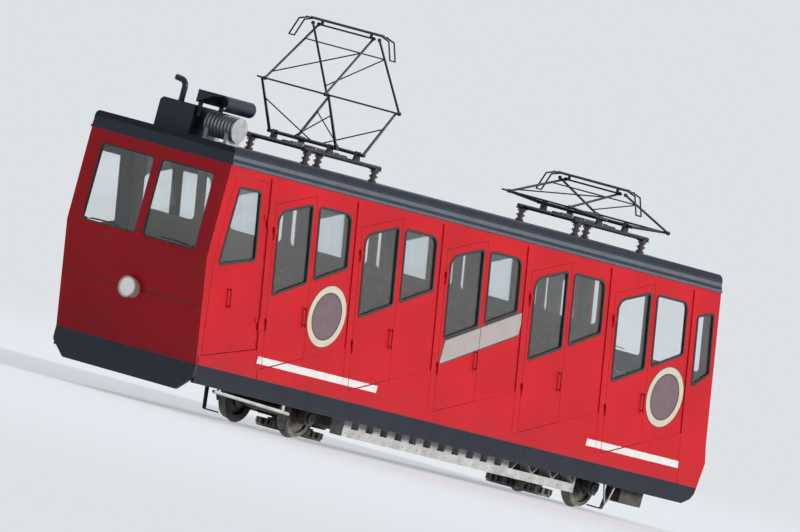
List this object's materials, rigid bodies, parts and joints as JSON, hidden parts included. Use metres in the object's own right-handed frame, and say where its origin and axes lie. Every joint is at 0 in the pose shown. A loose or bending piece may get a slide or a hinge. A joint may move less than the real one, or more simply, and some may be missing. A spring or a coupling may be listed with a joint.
{
  "type": "rack railway railcar",
  "caption": "Steep-grade rack railcar with a leaning, stepped body, side doors, horizontal rack pinions below and diamond pantographs on the roof.",
  "frame": {"origin": "middle of the bounding box, at the bottom of the wheel flanges", "axes": "+X runs downhill along the track, +Z is square to the track and away from it, -Y is the side seen in the picture"},
  "size_m": [10.91, 2.198, 4.8658],
  "materials": {
    "red_paint": "gloss",
    "navy_paint": "satin",
    "glass": "clear",
    "light_grey": "satin",
    "insulator": "glossy",
    "grey_steel": "satin",
    "bench_wood": "varnished",
    "floor": "matt",
    "interior": "satin",
    "lamp": "satin",
    "wheel_steel": "worn",
    "dark_steel": "satin"
  },
  "bodies": {
    "car": {"aprons": "navy_paint", "axle_boxes": "dark_steel", "benches": "bench_wood", "cantrails": "navy_paint", "comb_casings": "light_grey", "deck": "floor", "driver_desks": "interior", "end_glass": "glass", "end_wall_downhill": "red_paint", "end_wall_uphill": "red_paint", "equipment_boxes": "dark_steel", "floor_steps": "floor", "frame_beams": "dark_steel", "frame_members": "dark_steel", "gear_case_brake": "dark_steel", "gear_case_drive": "dark_steel", "headlamps": "lamp", "pan_bases": "grey_steel", "pan_insulators": "insulator", "partitions": "interior", "rail_guards": "dark_steel", "resistor_drum": "light_grey", "roof": "navy_paint", "roof_box": "navy_paint", "roof_hood": "dark_steel", "side_bars": "dark_steel", "side_glass_far": "glass", "side_glass_near": "glass", "side_wall_far": "red_paint", "side_wall_near": "red_paint", "sill_skirt": "navy_paint", "traction_motor": "dark_steel"},
    "door_far_1": {"door_far_1": "red_paint"},
    "door_far_2": {"door_far_2": "red_paint"},
    "door_far_3": {"door_far_3": "red_paint"},
    "door_far_4": {"door_far_4": "red_paint"},
    "door_far_5": {"door_far_5": "red_paint"},
    "door_far_cab": {"door_far_cab": "red_paint"},
    "door_near_1": {"door_near_1": "red_paint"},
    "door_near_2": {"door_near_2": "red_paint"},
    "door_near_3": {"door_near_3": "red_paint"},
    "door_near_4": {"door_near_4": "red_paint"},
    "door_near_5": {"door_near_5": "red_paint"},
    "door_near_cab": {"door_near_cab": "red_paint"},
    "pan_downhill_head": {"pan_downhill_head": "grey_steel"},
    "pan_downhill_lower_dn": {"pan_downhill_lower_dn": "grey_steel"},
    "pan_downhill_lower_up": {"pan_downhill_lower_up": "grey_steel"},
    "pan_downhill_upper_dn": {"pan_downhill_upper_dn": "grey_steel"},
    "pan_downhill_upper_up": {"pan_downhill_upper_up": "grey_steel"},
    "pan_uphill_head": {"pan_uphill_head": "grey_steel"},
    "pan_uphill_lower_dn": {"pan_uphill_lower_dn": "grey_steel"},
    "pan_uphill_lower_up": {"pan_uphill_lower_up": "grey_steel"},
    "pan_uphill_upper_dn": {"pan_uphill_upper_dn": "grey_steel"},
    "pan_uphill_upper_up": {"pan_uphill_upper_up": "grey_steel"},
    "pinion_brake_far": {"pinion_brake_far": "wheel_steel"},
    "pinion_brake_near": {"pinion_brake_near": "wheel_steel"},
    "pinion_drive_far": {"pinion_drive_far": "wheel_steel"},
    "pinion_drive_near": {"pinion_drive_near": "wheel_steel"},
    "wheelset_downhill": {"wheelset_downhill": "wheel_steel"},
    "wheelset_uphill": {"wheelset_uphill": "wheel_steel"}
  },
  "joints": [
    {"name": "wheelset_uphill_roll", "type": "hinge", "parent": "car", "child": "wheelset_uphill", "pos_m": [-2.115, 0, 0.285], "axis": [0, 1, 0], "continuous": true},
    {"name": "wheelset_downhill_roll", "type": "hinge", "parent": "car", "child": "wheelset_downhill", "pos_m": [3.865, 0, 0.285], "axis": [0, 1, 0], "continuous": true},
    {"name": "pinion_brake_near_turn", "type": "hinge", "parent": "car", "child": "pinion_brake_near", "pos_m": [-1.545, -0.24595, 0.105], "axis": [0, 0, 1], "continuous": true},
    {"name": "pinion_brake_far_turn", "type": "hinge", "parent": "car", "child": "pinion_brake_far", "pos_m": [-1.545, 0.24595, 0.105], "axis": [0, 0, 1], "continuous": true},
    {"name": "pinion_drive_near_turn", "type": "hinge", "parent": "car", "child": "pinion_drive_near", "pos_m": [3.295, -0.24595, 0.105], "axis": [0, 0, 1], "continuous": true},
    {"name": "pinion_drive_far_turn", "type": "hinge", "parent": "car", "child": "pinion_drive_far", "pos_m": [3.295, 0.24595, 0.105], "axis": [0, 0, 1], "continuous": true},
    {"name": "door_near_1_swing", "type": "hinge", "parent": "car", "child": "door_near_1", "pos_m": [-4.1785, -1.064, 1.855], "axis": [0.2838, 0, -0.9589], "range_deg": [0, 85]},
    {"name": "door_near_2_swing", "type": "hinge", "parent": "car", "child": "door_near_2", "pos_m": [-2.3985, -1.064, 1.855], "axis": [0.2838, 0, -0.9589], "range_deg": [0, 85]},
    {"name": "door_near_3_swing", "type": "hinge", "parent": "car", "child": "door_near_3", "pos_m": [-0.6185, -1.064, 1.855], "axis": [0.2838, 0, -0.9589], "range_deg": [0, 85]},
    {"name": "door_near_4_swing", "type": "hinge", "parent": "car", "child": "door_near_4", "pos_m": [1.1615, -1.064, 1.855], "axis": [0.2838, 0, -0.9589], "range_deg": [0, 85]},
    {"name": "door_near_5_swing", "type": "hinge", "parent": "car", "child": "door_near_5", "pos_m": [2.9415, -1.064, 1.855], "axis": [0.2838, 0, -0.9589], "range_deg": [0, 85]},
    {"name": "door_near_cab_swing", "type": "hinge", "parent": "car", "child": "door_near_cab", "pos_m": [-4.3315, -1.064, 1.855], "axis": [-0.2838, 0, 0.9589], "range_deg": [0, 85]},
    {"name": "door_far_1_swing", "type": "hinge", "parent": "car", "child": "door_far_1", "pos_m": [-4.1785, 1.064, 1.855], "axis": [-0.2838, 0, 0.9589], "range_deg": [0, 85]},
    {"name": "door_far_2_swing", "type": "hinge", "parent": "car", "child": "door_far_2", "pos_m": [-2.3985, 1.064, 1.855], "axis": [-0.2838, 0, 0.9589], "range_deg": [0, 85]},
    {"name": "door_far_3_swing", "type": "hinge", "parent": "car", "child": "door_far_3", "pos_m": [-0.6185, 1.064, 1.855], "axis": [-0.2838, 0, 0.9589], "range_deg": [0, 85]},
    {"name": "door_far_4_swing", "type": "hinge", "parent": "car", "child": "door_far_4", "pos_m": [1.1615, 1.064, 1.855], "axis": [-0.2838, 0, 0.9589], "range_deg": [0, 85]},
    {"name": "door_far_5_swing", "type": "hinge", "parent": "car", "child": "door_far_5", "pos_m": [2.9415, 1.064, 1.855], "axis": [-0.2838, 0, 0.9589], "range_deg": [0, 85]},
    {"name": "door_far_cab_swing", "type": "hinge", "parent": "car", "child": "door_far_cab", "pos_m": [-4.3315, 1.064, 1.855], "axis": [0.2838, 0, -0.9589], "range_deg": [0, 85]},
    {"name": "pan_uphill_lift", "type": "hinge", "parent": "car", "child": "pan_uphill_lower_up", "pos_m": [-2.795, 0, 3.435], "axis": [0, -1, 0], "range_deg": [0, 51]},
    {"name": "pan_uphill_lower_dn_turn", "type": "hinge", "parent": "car", "child": "pan_uphill_lower_dn", "pos_m": [-2.235, 0, 3.435], "axis": [0, 1, 0], "range_deg": [-1, 52]},
    {"name": "pan_uphill_upper_up_turn", "type": "hinge", "parent": "pan_uphill_lower_up", "child": "pan_uphill_upper_up", "pos_m": [-3.21821, 0, 4.01749], "axis": [0, 1, 0], "range_deg": [-1, 82.52]},
    {"name": "pan_uphill_upper_dn_turn", "type": "hinge", "parent": "pan_uphill_lower_dn", "child": "pan_uphill_upper_dn", "pos_m": [-1.8118, 0, 4.01749], "axis": [0, -1, 0], "range_deg": [-1, 82.52]},
    {"name": "pan_uphill_head_level", "type": "hinge", "parent": "pan_uphill_upper_up", "child": "pan_uphill_head", "pos_m": [-2.515, 0, 4.79184], "axis": [0, -1, 0], "range_deg": [-1, 31.52]},
    {"name": "pan_downhill_lift", "type": "hinge", "parent": "car", "child": "pan_downhill_lower_up", "pos_m": [2.885, 0, 3.435], "axis": [0, 1, 0], "range_deg": [0, 51]},
    {"name": "pan_downhill_lower_dn_turn", "type": "hinge", "parent": "car", "child": "pan_downhill_lower_dn", "pos_m": [3.445, 0, 3.435], "axis": [0, -1, 0], "range_deg": [-1, 52]},
    {"name": "pan_downhill_upper_up_turn", "type": "hinge", "parent": "pan_downhill_lower_up", "child": "pan_downhill_upper_up", "pos_m": [2.16599, 0, 3.47268], "axis": [0, -1, 0], "range_deg": [-1, 82.52]},
    {"name": "pan_downhill_upper_dn_turn", "type": "hinge", "parent": "pan_downhill_lower_dn", "child": "pan_downhill_upper_dn", "pos_m": [4.16401, 0, 3.47268], "axis": [0, 1, 0], "range_deg": [-1, 82.52]},
    {"name": "pan_downhill_head_level", "type": "hinge", "parent": "pan_downhill_upper_up", "child": "pan_downhill_head", "pos_m": [3.165, 0, 3.78266], "axis": [0, 1, 0], "range_deg": [-1, 31.52]}
  ],
  "couplings": [
    {"joint": "pinion_brake_far_turn", "follows": "pinion_brake_near_turn", "ratio": -1},
    {"joint": "pinion_drive_far_turn", "follows": "pinion_drive_near_turn", "ratio": -1},
    {"joint": "pan_uphill_lower_dn_turn", "follows": "pan_uphill_lift", "ratio": 1},
    {"joint": "pan_uphill_upper_up_turn", "follows": "pan_uphill_lift", "ratio": 1.5984},
    {"joint": "pan_uphill_upper_dn_turn", "follows": "pan_uphill_lift", "ratio": 1.5984},
    {"joint": "pan_uphill_head_level", "follows": "pan_uphill_lift", "ratio": 0.5984},
    {"joint": "pan_downhill_lower_dn_turn", "follows": "pan_downhill_lift", "ratio": 1},
    {"joint": "pan_downhill_upper_up_turn", "follows": "pan_downhill_lift", "ratio": 1.5984},
    {"joint": "pan_downhill_upper_dn_turn", "follows": "pan_downhill_lift", "ratio": 1.5984},
    {"joint": "pan_downhill_head_level", "follows": "pan_downhill_lift", "ratio": 0.5984}
  ]
}
